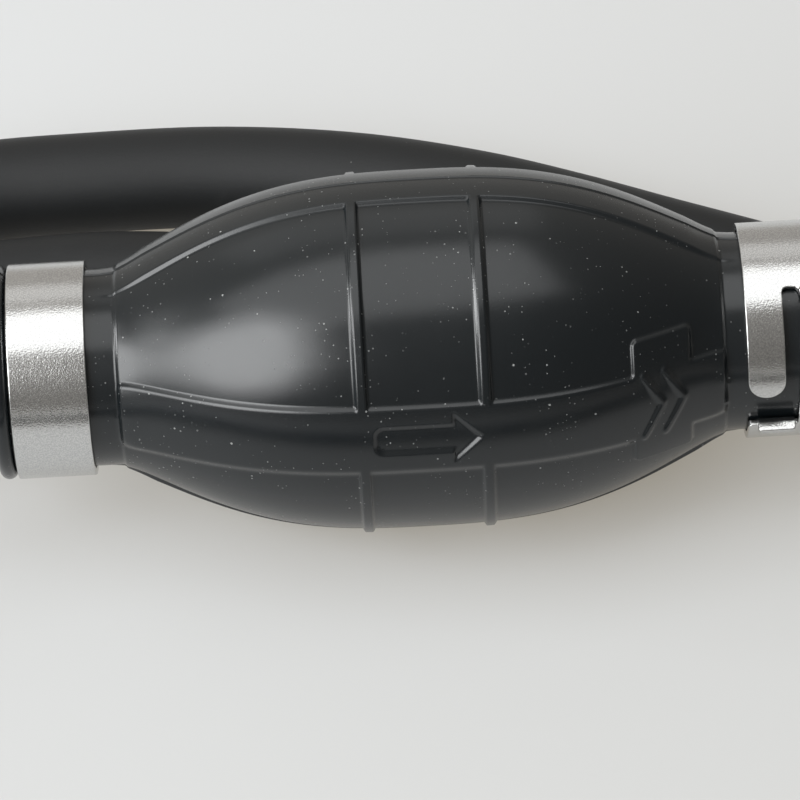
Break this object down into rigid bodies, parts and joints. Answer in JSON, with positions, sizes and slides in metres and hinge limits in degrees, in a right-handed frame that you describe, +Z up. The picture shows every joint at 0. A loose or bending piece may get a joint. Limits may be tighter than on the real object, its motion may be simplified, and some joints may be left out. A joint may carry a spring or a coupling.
{
  "type": "siphon bulb pump",
  "caption": "Hand squeeze bulb with spring-loaded check valves in its clamped necks and a stored hose on each end, for siphoning and priming liquids.",
  "frame": {"origin": "on the surface that the pump lies on, under the middle of the bulb", "axes": "+X along the bulb from the inlet to the outlet, +Z up, +Y behind the bulb"},
  "size_m": [0.3705, 0.2137, 0.0499],
  "materials": {
    "bulb_rubber": "moulded satin rubber, charcoal",
    "hose_rubber": "extruded rubber with a fine grain, black",
    "clamp_steel": "bright spring steel strip, finely ground",
    "connector_plastic": "moulded black nylon",
    "valve_plastic": "moulded natural acetal",
    "seat_rubber": "smooth sealing rubber",
    "spring_steel": "drawn stainless wire and strip",
    "tie_strap": "black strap"
  },
  "bodies": {
    "pump": {"bulb": "bulb_rubber", "inlet_neck_clamp": "clamp_steel", "outlet_neck_clamp": "clamp_steel", "inlet_connector": "connector_plastic", "outlet_connector": "connector_plastic", "inlet_valve_seat": "seat_rubber", "inlet_valve_spring": "spring_steel", "inlet_valve_cage": "valve_plastic", "inlet_retaining_ring": "spring_steel", "outlet_valve_seat": "seat_rubber", "outlet_valve_spring": "spring_steel", "outlet_valve_cage": "valve_plastic", "outlet_retaining_ring": "spring_steel", "inlet_hose_clamp": "clamp_steel", "outlet_hose_clamp": "clamp_steel", "inlet_hose": "hose_rubber", "outlet_hose": "hose_rubber", "front_tie_left": "tie_strap", "front_tie_right": "tie_strap"},
    "inlet_poppet": {"inlet_valve_poppet": "valve_plastic"},
    "outlet_poppet": {"outlet_valve_poppet": "valve_plastic"}
  },
  "joints": [
    {"name": "inlet_valve_lift", "type": "slide", "parent": "pump", "child": "inlet_poppet", "axis": [1, 0, 0], "range_m": [0, 0.0025], "stiffness_N_per_m": 40, "springref_m": -0.003, "deforming": ["inlet_valve_spring"]},
    {"name": "outlet_valve_lift", "type": "slide", "parent": "pump", "child": "outlet_poppet", "axis": [1, 0, 0], "range_m": [0, 0.0025], "stiffness_N_per_m": 40, "springref_m": -0.003, "deforming": ["outlet_valve_spring"]}
  ]
}
